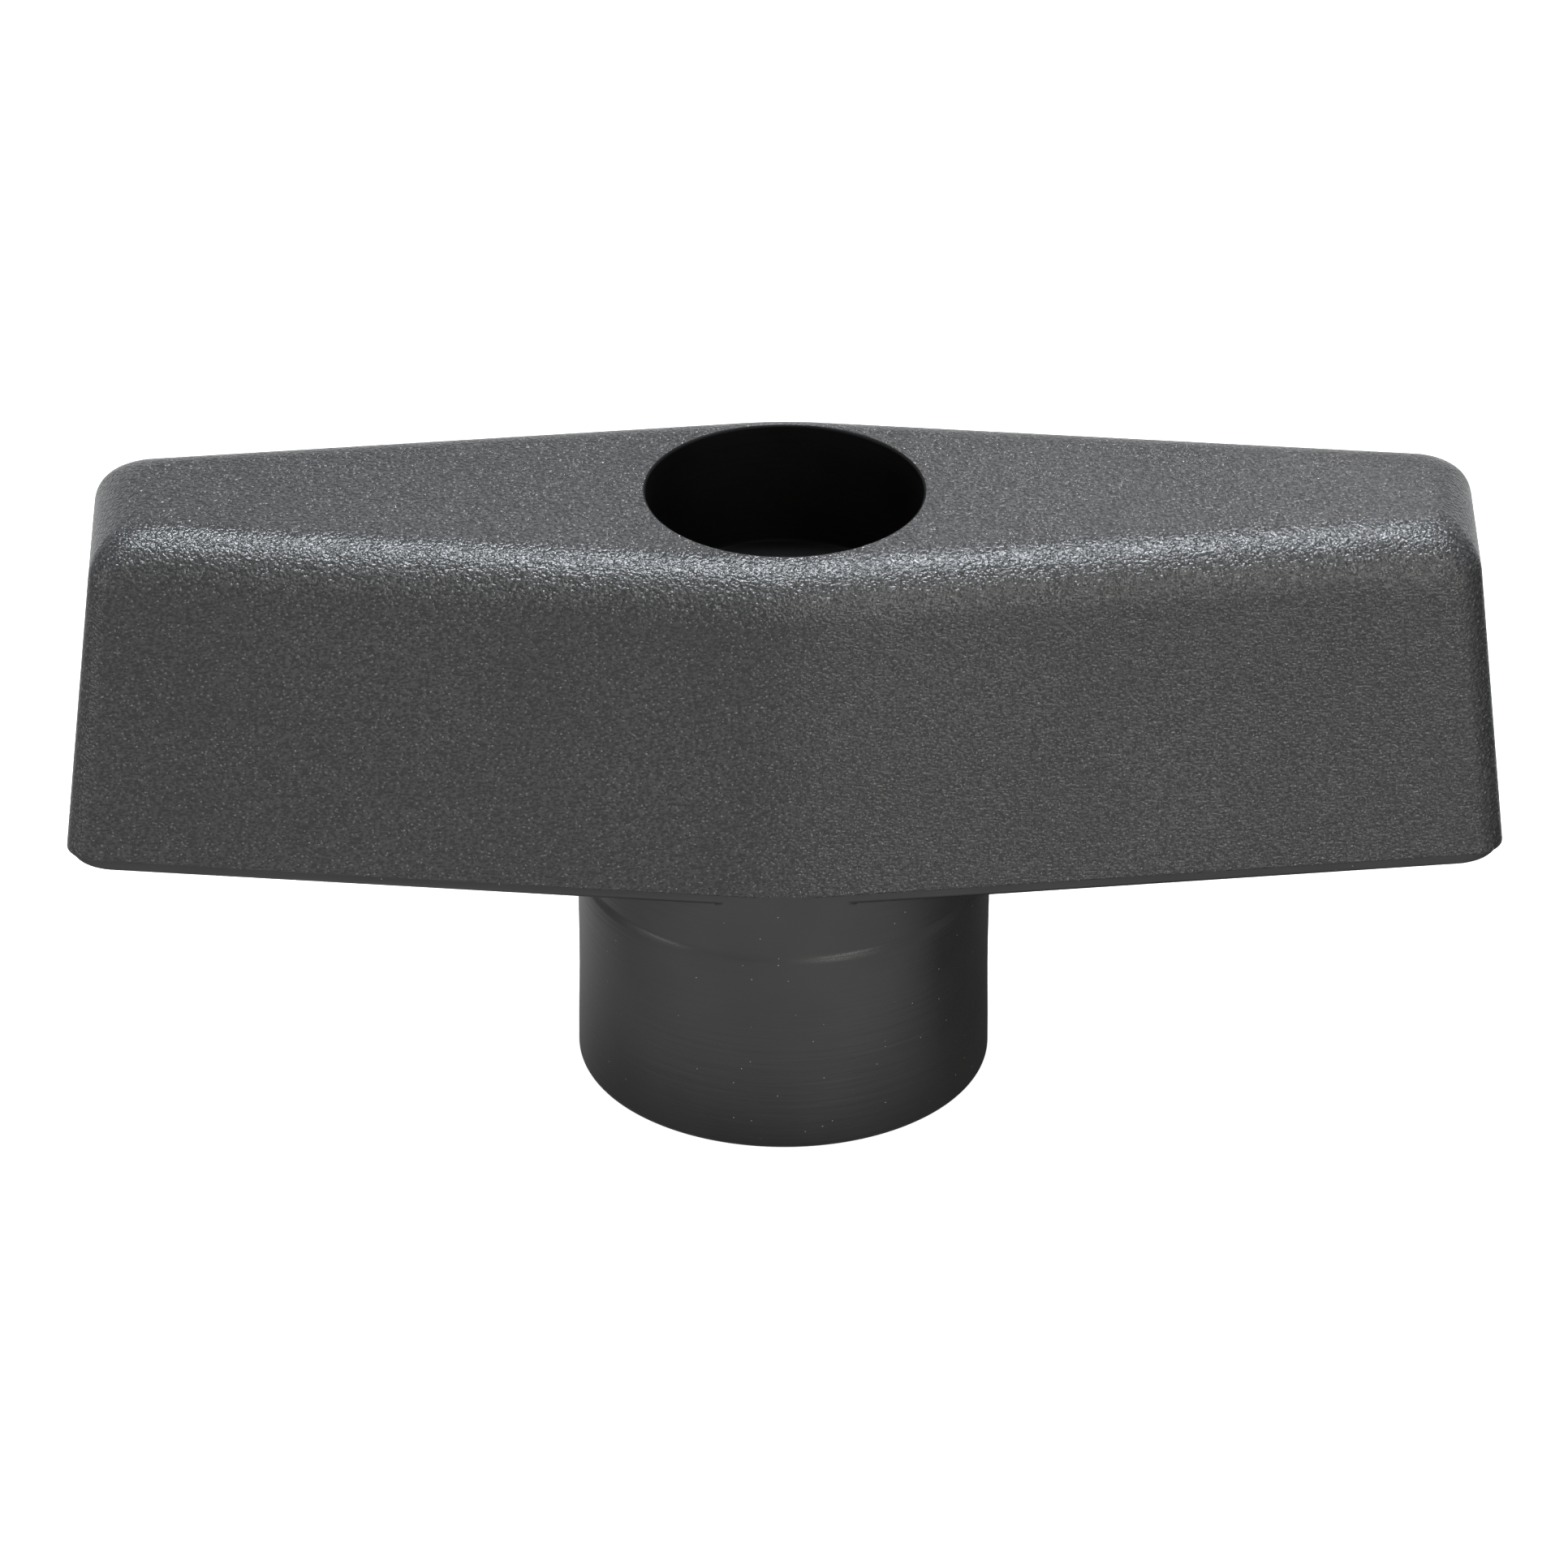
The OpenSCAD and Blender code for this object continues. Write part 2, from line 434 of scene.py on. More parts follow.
@dataclass(frozen=True)
class WingPlan:
    """Plan of the two wings, and solids raised from it level by level."""

    half_length: float
    half_middle: float
    angle: float
    corner: float
    blend: float
    corner_steps: int = 12
    blend_steps: int = 12
    middle_reach: float = 10.0

    @staticmethod
    def profile(half_turn: float) -> float:
        """Bevel profile that gives a circular arc.

        Args:
            half_turn: Half of the angle by which the outline turns, in radians.

        Returns:
            The profile value.
        """
        return (1 - 0.5 / (1 + math.cos(half_turn))) ** 2

    def raise_solid(self, name: str, levels: Sequence[Level]) -> Workpiece:
        """Raise a closed solid from the plan.

        Args:
            name: The piece's name.
            levels: Its levels from the lowest to the highest.

        Returns:
            The new piece.
        """
        first = levels[0]
        half_l = self.half_length - first.tip_in
        blend_cut = self.blend * (1 / math.cos(self.angle) - 1)
        apex = self.half_middle - first.side_in + blend_cut
        tip = apex - half_l * math.tan(self.angle)
        corner_turn = (math.pi / 2 - self.angle) / 2
        corner_cut = self.corner * math.tan(corner_turn)
        blend_width = self.blend * math.tan(self.angle)
        hexagon_x, hexagon_y = math.cos(math.radians(30)), 0.5
        piece = Workpiece.disc(name, 6)
        with piece.editing():
            piece.slide((0.0, 0.0, first.height))
            with piece.among(lambda co: abs(co.x) > hexagon_x / 2):
                piece.stretch((half_l / hexagon_x, tip / hexagon_y, 1.0))
            with piece.among(lambda co: abs(co.x) < hexagon_x / 2):
                piece.stretch((1.0, apex, 1.0))
            piece.pick_points(lambda co: abs(co.x) > self.middle_reach)
            piece.round_points(corner_cut, self.corner_steps, self.profile(corner_turn))
            piece.pick_points(lambda co: abs(co.x) < self.middle_reach)
            piece.round_points(blend_width, self.blend_steps, self.profile(self.angle))
            bpy.ops.mesh.select_all(action="SELECT")
            for below, above in zip(levels, levels[1:]):
                piece.lift(above.height - below.height)
                self.lean_in(piece, above.tip_in - below.tip_in, above.side_in - below.side_in)
            piece.face_outwards()
        return piece

    def lean_in(self, piece: Workpiece, tip_in: float, side_in: float) -> None:
        """Pull the selected outline in, with its corners kept as they are.

        Args:
            piece: The piece that is being raised.
            tip_in: Distance by which the tips move in.
            side_in: Distance by which the long sides move in.
        """
        corner_in = side_in - tip_in * math.tan(self.angle)
        for side in (-1, 1):
            with piece.among(lambda co: abs(co.x) < self.middle_reach and co.y * side > 0):
                piece.slide((0.0, -side * side_in, 0.0))
            for end in (-1, 1):
                with piece.among(lambda co: co.x * end > self.middle_reach and co.y * side > 0):
                    piece.slide((-end * tip_in, -side * corner_in, 0.0))


class NodeBench:
    """Adds and links the nodes of a node tree."""

    def __init__(self, tree: bpy.types.NodeTree) -> None:
        """Work on a node tree."""
        self.nodes = tree.nodes
        self.links = tree.links

    def add(
        self, kind: str, inputs: dict[str | int, object] | None = None, **settings: object
    ) -> bpy.types.Node:
        """Add a node.

        Args:
            kind: The node's type.
            inputs: Values or sockets for its inputs.
            **settings: Its properties.

        Returns:
            The node.
        """
        node = self.nodes.new(kind)
        for key, value in settings.items():
            setattr(node, key, value)
        for key, value in (inputs or {}).items():
            self.feed(node.inputs[key], value)
        return node

    def feed(self, socket: bpy.types.NodeSocket, value: object) -> None:
        """Set a socket to a value, or link another socket to it.

        Args:
            socket: The input.
            value: The value or the other socket.
        """
        if isinstance(value, bpy.types.NodeSocket):
            self.links.new(value, socket)
        else:
            socket.default_value = value

    def math(self, operation: str, *values: object) -> bpy.types.NodeSocket:
        """Add a math node.

        Args:
            operation: What it does.
            *values: Its inputs.

        Returns:
            Its result.
        """
        return self.add("ShaderNodeMath", dict(enumerate(values)), operation=operation).outputs[0]

    def between(self, share: object, first: object, second: object) -> bpy.types.NodeSocket:
        """Mix two numbers.

        Args:
            share: Share of the second number.
            first: First number.
            second: Second number.

        Returns:
            The mixed number.
        """
        inputs = dict(zip(MIX_NUMBER_INPUTS, (share, first, second)))
        return self.add("ShaderNodeMix", inputs, data_type="FLOAT").outputs[0]

    def spread(
        self, value: object, old: Span, new: Span = FULL, smooth: bool = False
    ) -> bpy.types.NodeSocket:
        """Map a value from one range to another, and keep it inside.

        Args:
            value: The value.
            old: Its range.
            new: The range of the result.
            smooth: Whether the result eases in and out.

        Returns:
            The mapped value.
        """
        inputs = {"Value": value, "From Min": old[0], "From Max": old[1], "To Min": new[0], "To Max": new[1]}
        way = "SMOOTHSTEP" if smooth else "LINEAR"
        return self.add("ShaderNodeMapRange", inputs, clamp=True, interpolation_type=way).outputs["Result"]


class ShaderTree(NodeBench):
    """Builds the nodes of one material."""

    def __init__(self, name: str) -> None:
        """Start a material with its standard surface shader.

        Args:
            name: The material's name.
        """
        self.material = bpy.data.materials.new(name)
        self.material.use_nodes = True
        super().__init__(self.material.node_tree)
        self.surface = self.nodes["Principled BSDF"]

    def set(self, **values: object) -> None:
        """Set or link inputs of the surface shader, with underscores for the spaces in their names."""
        for key, value in values.items():
            self.feed(self.surface.inputs[key.replace("_", " ")], value)

    def place(self, scale: Sequence[float] = (1.0, 1.0, 1.0)) -> bpy.types.NodeSocket:
        """Place on the piece in millimetres.

        Args:
            scale: Stretch of the pattern along each axis.

        Returns:
            The vector.
        """
        coordinates = self.add("ShaderNodeTexCoord")
        factors = tuple(MM_PER_M * value for value in scale)
        mapping = self.add("ShaderNodeMapping", {"Vector": coordinates.outputs["Object"], "Scale": factors})
        return mapping.outputs["Vector"]

    def noise(self, vector: bpy.types.NodeSocket, per_mm: float, detail: float = 2.0) -> bpy.types.NodeSocket:
        """Add a noise pattern.

        Args:
            vector: The place, in millimetres.
            per_mm: Number of cells in a millimetre.
            detail: Number of finer layers.

        Returns:
            Its value, about 0.5 on average.
        """
        inputs = {"Vector": vector, "Scale": per_mm, "Detail": detail, "Roughness": 0.5}
        return self.add("ShaderNodeTexNoise", inputs, noise_dimensions="3D").outputs["Fac"]

    def cells(
        self, vector: bpy.types.NodeSocket, per_mm: float, output: str = "Distance"
    ) -> bpy.types.NodeSocket:
        """Add a pattern of scattered cells.

        Args:
            vector: The place, in millimetres.
            per_mm: Number of cells in a millimetre.
            output: What is read of it: the distance from the nearest centre, or the cell's own colour.

        Returns:
            The chosen output.
        """
        return self.add("ShaderNodeTexVoronoi", {"Vector": vector, "Scale": per_mm}).outputs[output]

    def blend(self, factor: object, first: object, second: object) -> bpy.types.NodeSocket:
        """Mix two colours.

        Args:
            factor: Share of the second colour.
            first: First colour.
            second: Second colour.

        Returns:
            The mixed colour.
        """
        inputs = dict(zip(MIX_COLOUR_INPUTS, (factor, first, second)))
        node = self.add("ShaderNodeMix", inputs, data_type="RGBA", blend_type="MIX")
        return node.outputs[MIX_COLOUR_OUTPUT]

    def bump(self, height: object, depth_mm: float, under: object = None) -> bpy.types.NodeSocket:
        """Turn a height pattern into a bump.

        Args:
            height: The height, 0 to 1.
            depth_mm: How deep the pattern is.
            under: A bump that this one lies on.

        Returns:
            The normal.
        """
        inputs = {"Height": height, "Strength": 1.0, "Distance": depth_mm / MM_PER_M}
        node = self.add("ShaderNodeBump", inputs)
        if under is not None:
            self.feed(node.inputs["Normal"], under)
        return node.outputs["Normal"]


@dataclass(frozen=True)
class GrainedPlastic:
    """Black plastic with the fine grain of a spark-eroded mould, with painted shade in the low places of the
    grain and painted glints on the tips of its dots.
    """

    name: str = "grained_plastic"
    dark: Colour = (0.029, 0.0293, 0.0305, 1.0)
    pale: Colour = (0.039, 0.0393, 0.041, 1.0)
    # Painted shade: colour of the low places of the grain, darker than the plastic.
    pit_shade: Colour = (0.012, 0.012, 0.0125, 1.0)
    # Painted glint: colour of the tips of the dots, lighter than the plastic.
    tip_glint: Colour = (0.095, 0.095, 0.097, 1.0)
    cloud_per_mm: float = 0.08
    cloud_detail: float = 3.0
    cloud_span: Span = (0.35, 0.65)
    grain_per_mm: float = 4.8
    grain_stretch: tuple[float, float, float] = (1.0, 1.0, 1.5)
    grain_detail: float = 1.5
    grain_depth: float = 0.105
    pit_shade_span: Span = (0.42, 0.60)
    fine_per_mm: float = 11.0
    fine_detail: float = 1.0
    fine_depth: float = 0.008
    dots_per_mm: float = 3.3
    dot_reach: float = 0.42
    dot_height: float = 0.030
    tip_glint_span: Span = (0.40, 0.85)
    rough_span: Span = (0.35, 0.65)
    rough: Span = (0.18, 0.12)
    specular: float = 0.5

    def build(self) -> bpy.types.Material:
        """Build the material.

        Returns:
            The material.
        """
        tree = ShaderTree(self.name)
        place = tree.place()
        cloud = tree.noise(place, self.cloud_per_mm, self.cloud_detail)
        grain = tree.noise(tree.place(self.grain_stretch), self.grain_per_mm, self.grain_detail)
        fine = tree.noise(place, self.fine_per_mm, self.fine_detail)
        centre = tree.cells(place, self.dots_per_mm)
        dot_bumps_and_glints = tree.spread(centre, (0.0, self.dot_reach), (1.0, 0.0), smooth=True)
        tint = tree.blend(tree.spread(cloud, self.cloud_span), self.dark, self.pale)
        # Painted shade: the colour darkens in the low places of the grain.
        tint = tree.blend(tree.spread(grain, self.pit_shade_span), self.pit_shade, tint)
        # Painted glints: the colour lightens on the tips of the dots, which are also real bumps in the relief
        # below.
        tint = tree.blend(tree.spread(dot_bumps_and_glints, self.tip_glint_span), tint, self.tip_glint)
        worn = tree.spread(grain, self.rough_span, self.rough)
        relief = tree.bump(fine, self.fine_depth, tree.bump(grain, self.grain_depth))
        relief = tree.bump(dot_bumps_and_glints, self.dot_height, relief)
        tree.set(Base_Color=tint, Roughness=worn, Normal=relief, Specular_IOR_Level=self.specular)
        return tree.material


@dataclass(frozen=True)
class SmoothPlastic:
    """The same plastic where the mould was turned and polished: fine turning lines, scuffs and dust."""

    name: str = "smooth_plastic"
    dark: Colour = (0.014, 0.014, 0.0145, 1.0)
    pale: Colour = (0.020, 0.020, 0.020, 1.0)
    dust: Colour = (0.20, 0.195, 0.18, 1.0)
    dust_per_mm: float = 2.0
    dust_size: float = 0.07
    dust_share: float = 0.25
    cloud_per_mm: float = 0.12
    cloud_detail: float = 4.0
    cloud_span: Span = (0.35, 0.65)
    lines_per_mm: float = 3.2
    line_stretch: tuple[float, float, float] = (0.05, 0.05, 1.0)
    line_depth: float = 0.02
    mist_per_mm: float = 6.0
    mist_depth: float = 0.004
    rough_span: Span = (0.3, 0.7)
    rough: Span = (0.26, 0.34)
    specular: float = 0.45

    def build(self) -> bpy.types.Material:
        """Build the material.

        Returns:
            The material.
        """
        tree = ShaderTree(self.name)
        place = tree.place()
        cloud = tree.noise(place, self.cloud_per_mm, self.cloud_detail)
        lines = tree.noise(tree.place(self.line_stretch), self.lines_per_mm)
        mist = tree.noise(place, self.mist_per_mm)
        tint = tree.blend(tree.spread(cloud, self.cloud_span), self.dark, self.pale)
        speck = tree.math("LESS_THAN", tree.cells(place, self.dust_per_mm), self.dust_size)
        shade = tree.cells(place, self.dust_per_mm, "Color")
        lot = tree.add("ShaderNodeSeparateColor", {"Color": shade}).outputs[0]
        dusty = tree.math("MULTIPLY", speck, tree.math("LESS_THAN", lot, self.dust_share))
        tint = tree.blend(dusty, tint, self.dust)
        worn = tree.spread(cloud, self.rough_span, self.rough)
        relief = tree.bump(mist, self.mist_depth, tree.bump(lines, self.line_depth))
        tree.set(Base_Color=tint, Roughness=worn, Normal=relief, Specular_IOR_Level=self.specular)
        return tree.material


@dataclass(frozen=True)
class ShadedCorePlastic(SmoothPlastic):
    """The same plastic inside the recess and the hollows, left by polished cores, painted much darker and
    less glossy: painted shade in the recess.
    """

    name: str = "shaded_core_plastic"
    dark: Colour = (0.0025, 0.0025, 0.0026, 1.0)
    pale: Colour = (0.0040, 0.0040, 0.0042, 1.0)
    rough: Span = (0.40, 0.50)
    dust_share: float = 0.0
    specular: float = 0.1


@dataclass(frozen=True)
class TurnedBrass:
    """Turned brass, satin, with a slight tarnish."""

    name: str = "turned_brass"
    bright: Colour = (0.74, 0.58, 0.30, 1.0)
    dull: Colour = (0.52, 0.38, 0.19, 1.0)
    rings_per_mm: float = 9.0
    ring_depth: float = 0.004
    cloud_per_mm: float = 0.35
    cloud_detail: float = 3.0
    cloud_span: Span = (0.4, 0.7)
    rough_span: Span = (0.3, 0.7)
    rough: Span = (0.24, 0.42)

    def build(self) -> bpy.types.Material:
        """Build the material.

        Returns:
            The material.
        """
        tree = ShaderTree(self.name)
        place = tree.place()
        axes = tree.add("ShaderNodeSeparateXYZ", {"Vector": place}).outputs
        squares = [tree.math("POWER", axis, 2.0) for axis in (axes[0], axes[1])]
        radius = tree.math("SQRT", tree.math("ADD", *squares))
        rings = tree.add("ShaderNodeCombineXYZ", {"X": radius, "Y": axes[2]}).outputs[0]
        relief = tree.bump(tree.noise(rings, self.rings_per_mm), self.ring_depth)
        cloud = tree.noise(place, self.cloud_per_mm, self.cloud_detail)
        tint = tree.blend(tree.spread(cloud, self.cloud_span), self.bright, self.dull)
        worn = tree.spread(cloud, self.rough_span, self.rough)
        tree.set(Base_Color=tint, Metallic=1.0, Roughness=worn, Normal=relief)
        return tree.material


@dataclass(frozen=True)
class FloorPaper:
    """White paper of the studio floor."""

    name: str = "floor_paper"
    colour: Colour = (0.5, 0.5, 0.5, 1.0)
    fibres_per_mm: float = 1.5
    fibre_detail: float = 3.0
    fibre_depth: float = 0.01
    rough: float = 0.9
    glow: float = 0.9

    def build(self) -> bpy.types.Material:
        """Build the material.

        Returns:
            The material.
        """
        tree = ShaderTree(self.name)
        fibre = tree.noise(tree.place(), self.fibres_per_mm, self.fibre_detail)
        relief = tree.bump(fibre, self.fibre_depth)
        tree.set(Base_Color=self.colour, Normal=relief, Roughness=self.rough, Specular_IOR_Level=0.0)
        tree.set(Emission_Color=WHITE, Emission_Strength=self.glow)
        return tree.material


@dataclass
class ThreadedBush:
    """The brass bush: a collar, two knurls with a groove between them, a nose, and the thread inside."""

    collar_r: float = 7.5
    collar_h: float = 3.0
    knurl_r: float = 7.35
    knurl_depth: float = 0.4
    knurl_h: float = 6.6
    groove_h: float = 3.0
    core_r: float = 6.6
    bevel: float = 0.4
    teeth: int = 36
    sides: int = 144
    pitch: float = 1.5
    major_r: float = 5.0
    lead_in_r: float = 5.2
    flank: float = 30.0
    tap_inside: float = 0.25
    thread_sides: int = 72
    crease: float = 32.0
    length: float = field(init=False)
    minor_r: float = field(init=False)

    def __post_init__(self) -> None:
        """Read the length and the bore from the frame."""
        low, high = box_mm("threaded_bush")
        self.length = high.z - low.z
        self.minor_r = mount_radius("thread")

    def blank(self, name: str) -> Workpiece:
        """Turn the outside of the bush, without its bore.

        Args:
            name: The piece's name.

        Returns:
            The blank.
        """
        upper = self.collar_h + self.knurl_h + self.groove_h
        rings = [
            Ring(self.collar_r - self.bevel, 0.0),
            Ring(self.collar_r, self.bevel),
            Ring(self.collar_r, self.collar_h),
        ]
        for start, next_z in ((self.collar_h, upper), (upper, self.length - self.bevel)):
            end = start + self.knurl_h
            rings.append(Ring(self.knurl_r, start, self.knurl_depth))
            rings.append(Ring(self.knurl_r, end, self.knurl_depth))
            rings.append(Ring(self.core_r, end))
            rings.append(Ring(self.core_r, next_z))
        rings.append(Ring(self.core_r - self.bevel, self.length))
        return Lathe.turn(name, rings, self.sides, self.teeth)

    def bore(self) -> Workpiece:
        """Turn what the drill and the two lead-ins take away.

        Returns:
            The cutter.
        """
        slope = self.lead_in_r - self.minor_r
        past = 0.5
        rings = [
            Ring(self.lead_in_r + past, -past),
            Ring(self.minor_r, slope),
            Ring(self.minor_r, self.length - slope),
            Ring(self.lead_in_r + past, self.length + past),
        ]
        return Lathe.turn("bore_cutter", rings, self.thread_sides)

    def tap(self) -> Workpiece:
        """Wind the ridge that cuts the thread, right-handed and closed at both ends.

        Returns:
            The cutter.
        """
        inner = self.minor_r - self.tap_inside
        crest = self.pitch / 8
        root = crest + 2 * (self.major_r - inner) * math.tan(math.radians(self.flank))
        turns = math.ceil(self.length / self.pitch) + 2
        Workpiece.clear()
        bpy.ops.mesh.primitive_plane_add(size=1.0)
        piece = Workpiece("tap_cutter")
        with piece.editing():
            bpy.ops.transform.rotate(
                value=math.pi / 2, orient_axis="X", orient_type="GLOBAL", center_override=(0.0, 0.0, 0.0)
            )
            with piece.among(lambda co: co.x > 0):
                piece.stretch((1.0, 1.0, crest))
            with piece.among(lambda co: co.x < 0):
                piece.stretch((1.0, 1.0, root))
            piece.stretch((self.major_r - inner, 1.0, 1.0))
            piece.slide(((self.major_r + inner) / 2, 0.0, -self.pitch))
            bpy.ops.mesh.delete(type="ONLY_FACE")
        piece.apply(
            "SCREW",
            axis="Z",
            angle=2 * math.pi,
            screw_offset=self.pitch,
            iterations=turns,
            steps=self.thread_sides,
            render_steps=self.thread_sides,
            use_smooth_shade=False,
        )
        with piece.editing():
            bpy.ops.mesh.select_all(action="DESELECT")
            bpy.ops.mesh.select_mode(type="EDGE")
            bpy.ops.mesh.select_non_manifold()
            bpy.ops.mesh.fill_holes(sides=4)
            piece.face_outwards()
        return piece

    def build(self, brass: bpy.types.Material) -> bpy.types.Object:
        """Build and dress the bush.

        Args:
            brass: Its material.

        Returns:
            The finished object.
        """
        piece = self.blank("brass_bush")
        piece.coat([brass])
        piece.cut(self.bore())
        piece.cut(self.tap())
        piece.tidy()
        return piece.finish(self.crease)


@dataclass
class MouldedBody:
    """The moulded body: two hollow wings over a round hub, with a recess in the top."""

    bush: ThreadedBush
    skins: list[bpy.types.Material]
    wing_h: float = 20.3
    side_angle: float = 6.878
    side_draft: float = 3.5
    tip_draft: float = 5.6
    top_fillet: float = 3.2
    corner_r: float = 1.8
    blend_r: float = 20.0
    parting_r: float = 0.12
    lip_h: float = 0.8
    lip_step: float = 0.25
    lip_edge_r: float = 0.5
    lip_corner_r: float = 2.4
    lip_overlap: float = 0.4
    wall: float = 2.8
    roof: float = 3.2
    mouth_r: float = 0.35
    mouth_start: float = 15.0
    roof_r: float = 0.6
    hollow_corner_r: float = 0.8
    hollow_fillet: float = 0.35
    hollow_crease: float = 40.0
    column_foot: float = 0.02
    column_head: float = 0.3
    rib_places: tuple[float, ...] = (20.05, 28.63)
    rib_t: tuple[float, float] = (1.6, 2.0)
    rib_setback: float = 1.5
    hub_r: float = 11.6
    hub_waist: float = 0.05
    hub_edge_r: float = 0.5
    neck_r: float = 11.48
    neck_h: float = 3.1
    neck_step_h: float = 0.7
    recess_h: float = 7.4
    recess_floor_r: float = 0.3
    ledge_bevel: float = 0.25
    rim_r: float = 0.16
    rim_arc: float = 80.0
    past: float = 1.0
    crease: float = 38.0
    sides: int = 192
    edge_steps: int = 4
    lip_steps: int = 6
    hub_edge_steps: int = 8
    fillet_steps: int = 14
    top_z: float = field(init=False)
    hub_z: float = field(init=False)
    half_length: float = field(init=False)
    wing_z: float = field(init=False)
    parting_z: float = field(init=False)
    fillet_z: float = field(init=False)
    roof_z: float = field(init=False)

    def __post_init__(self) -> None:
        """Read the outer sizes from the frame, and work out the heights that follow from them."""
        low, high = box_mm("wing_body")
        self.top_z = high.z
        self.hub_z = low.z
        self.half_length = (high.x - low.x) / 2
        self.wing_z = self.top_z - self.wing_h
        self.parting_z = self.wing_z + self.lip_h
        self.fillet_z = self.top_z - self.top_fillet
        self.roof_z = self.top_z - self.roof

    def lean(self, height: float, draft: float) -> float:
        """Distance by which a drafted wall has leant in.

        Args:
            height: The height.
            draft: The wall's draft in degrees.

        Returns:
            The distance, with the fillet round the top counted in.
        """
        slope = math.tan(math.radians(draft))
        start = self.fillet_z + self.top_fillet * math.sin(math.radians(draft))
        if height <= start:
            return (height - self.parting_z) * slope
        up = height - self.fillet_z
        drawn = math.sqrt(max(0.0, self.top_fillet**2 - up**2))
        return (start - self.parting_z) * slope + self.top_fillet * math.cos(math.radians(draft)) - drawn

    def level(self, height: float, inset: float = 0.0) -> Level:
        """One level of the drafted walls, pulled in all round by an inset."""
        tip_in = self.lean(height, self.tip_draft) + inset
        return Level(height, tip_in, self.lean(height, self.side_draft) + inset)

    def plan(self, corner: float, inset: float = 0.0) -> WingPlan:
        """Plan of the wings for a corner radius, with the blend kept parallel to the outer one."""
        angle = math.radians(self.side_angle)
        return WingPlan(self.half_length, self.neck_r, angle, corner, self.blend_r - inset)

    def shell(self) -> Workpiece:
        """Raise the wall of the upper mould half, and weld the lip of the lower one to it.

        Returns:
            The solid wings.
        """
        edge = rounding(self.parting_r, self.edge_steps)
        levels = [self.level(self.parting_z + up, back) for up, back in edge]
        for angle in arc(self.fillet_steps, self.side_draft):
            levels.append(self.level(self.fillet_z + self.top_fillet * math.sin(angle)))
        piece = self.plan(self.corner_r).raise_solid("moulded_body", levels)
        piece.coat(self.skins, Skin.GRAIN.value)
        piece.weld(self.lip())
        return piece

    def lip(self) -> Workpiece:
        """Raise the lip below the parting line.

        Returns:
            The lip, which reaches a little into the wall above.
        """
        overlap_in = 0.02
        levels = []
        for up, back in rounding(self.lip_edge_r, self.lip_steps):
            levels.append(self.level(self.wing_z + up, self.lip_step + back))
        levels.append(self.level(self.parting_z + self.lip_overlap, self.lip_step + overlap_in))
        piece = self.plan(self.lip_corner_r).raise_solid("lip", levels)
        piece.coat(self.skins, Skin.SMOOTH.value)
        return piece

    def hollow(self) -> Workpiece:
        """Raise what is open under the wings, less the column round the bush and the ribs.

        Returns:
            The cutter.
        """
        below, flare = 0.8, 0.2
        levels = [self.level(self.wing_z - below, self.wall - self.mouth_r - flare)]
        for up, back in rounding(self.mouth_r, self.edge_steps, self.mouth_start):
            levels.append(self.level(self.wing_z + up, self.wall - back))
        for inwards, down in rounding(self.roof_r, self.edge_steps):
            levels.append(self.level(self.roof_z - down, self.wall + inwards))
        piece = self.plan(self.hollow_corner_r, self.wall).raise_solid("hollow_cutter", levels)
        column = [
            Ring(self.neck_r + self.column_foot, self.wing_z - self.past),
            Ring(self.neck_r + self.column_head, self.roof_z + self.past),
        ]
        piece.cut(Lathe.turn("column", column, self.sides))
        for place in self.rib_places:
            for end in (-1, 1):
                piece.cut(self.rib(end * place))
        sharp = math.radians(self.hollow_crease)
        piece.apply("BEVEL", width=self.hollow_fillet, segments=3, limit_method="ANGLE", angle_limit=sharp)
        piece.coat(self.skins, Skin.SMOOTH.value)
        return piece

    def rib(self, place: float) -> Workpiece:
        """Shape one cross rib, thinner at its lower edge.

        Args:
            place: Where it stands along the wings.

        Returns:
            The rib.
        """
        low_z = self.wing_z + self.rib_setback
        half = self.rib_t[0] / 2
        low = Vector((-half, -self.hub_r, low_z))
        piece = Workpiece.block("rib", low, Vector((half, self.hub_r, self.roof_z + self.past)))
        with piece.editing():
            piece.pick_points(lambda co: co.z > self.roof_z)
            piece.stretch((self.rib_t[1] / self.rib_t[0], 1.0, 1.0))
            bpy.ops.mesh.select_all(action="SELECT")
            piece.slide((place, 0.0, 0.0))
        return piece

    def hub(self) -> Workpiece:
        """Turn the hub, with its slight waist and the soft step of the core pin below the wings.

        Returns:
            The hub.
        """
        foot_z = self.wing_z - self.neck_h - self.neck_step_h / 2
        step = self.hub_r - self.neck_r
        edge = rounding(self.hub_edge_r, self.hub_edge_steps)
        rings = [Ring(self.hub_r - back, self.hub_z + up) for up, back in edge]
        bottom = rings[-1].height
        for share in (0.15, 0.3, 0.45, 0.6, 0.75, 0.9):
            height = bottom + share * (foot_z - bottom)
            rings.append(Ring(self.hub_r - self.hub_waist * math.sin(math.pi * share) ** 2, height))
        for share in (0.0, 0.2, 0.4, 0.6, 0.8, 1.0):
            smooth = share * share * (3 - 2 * share)
            rings.append(Ring(self.hub_r - step * smooth, foot_z + self.neck_step_h * share))
        below_wings, into_wall, head_z, head_in = 0.12, 0.1, 0.5, 0.08
        rings.append(Ring(self.neck_r, self.wing_z - below_wings))
        rings.append(Ring(self.neck_r, self.parting_z + into_wall))
        rings.append(Ring(self.neck_r - head_in, self.parting_z + head_z))
        piece = Lathe.turn("hub", rings, self.sides)
        piece.coat(self.skins, Skin.SMOOTH.value)
        return piece

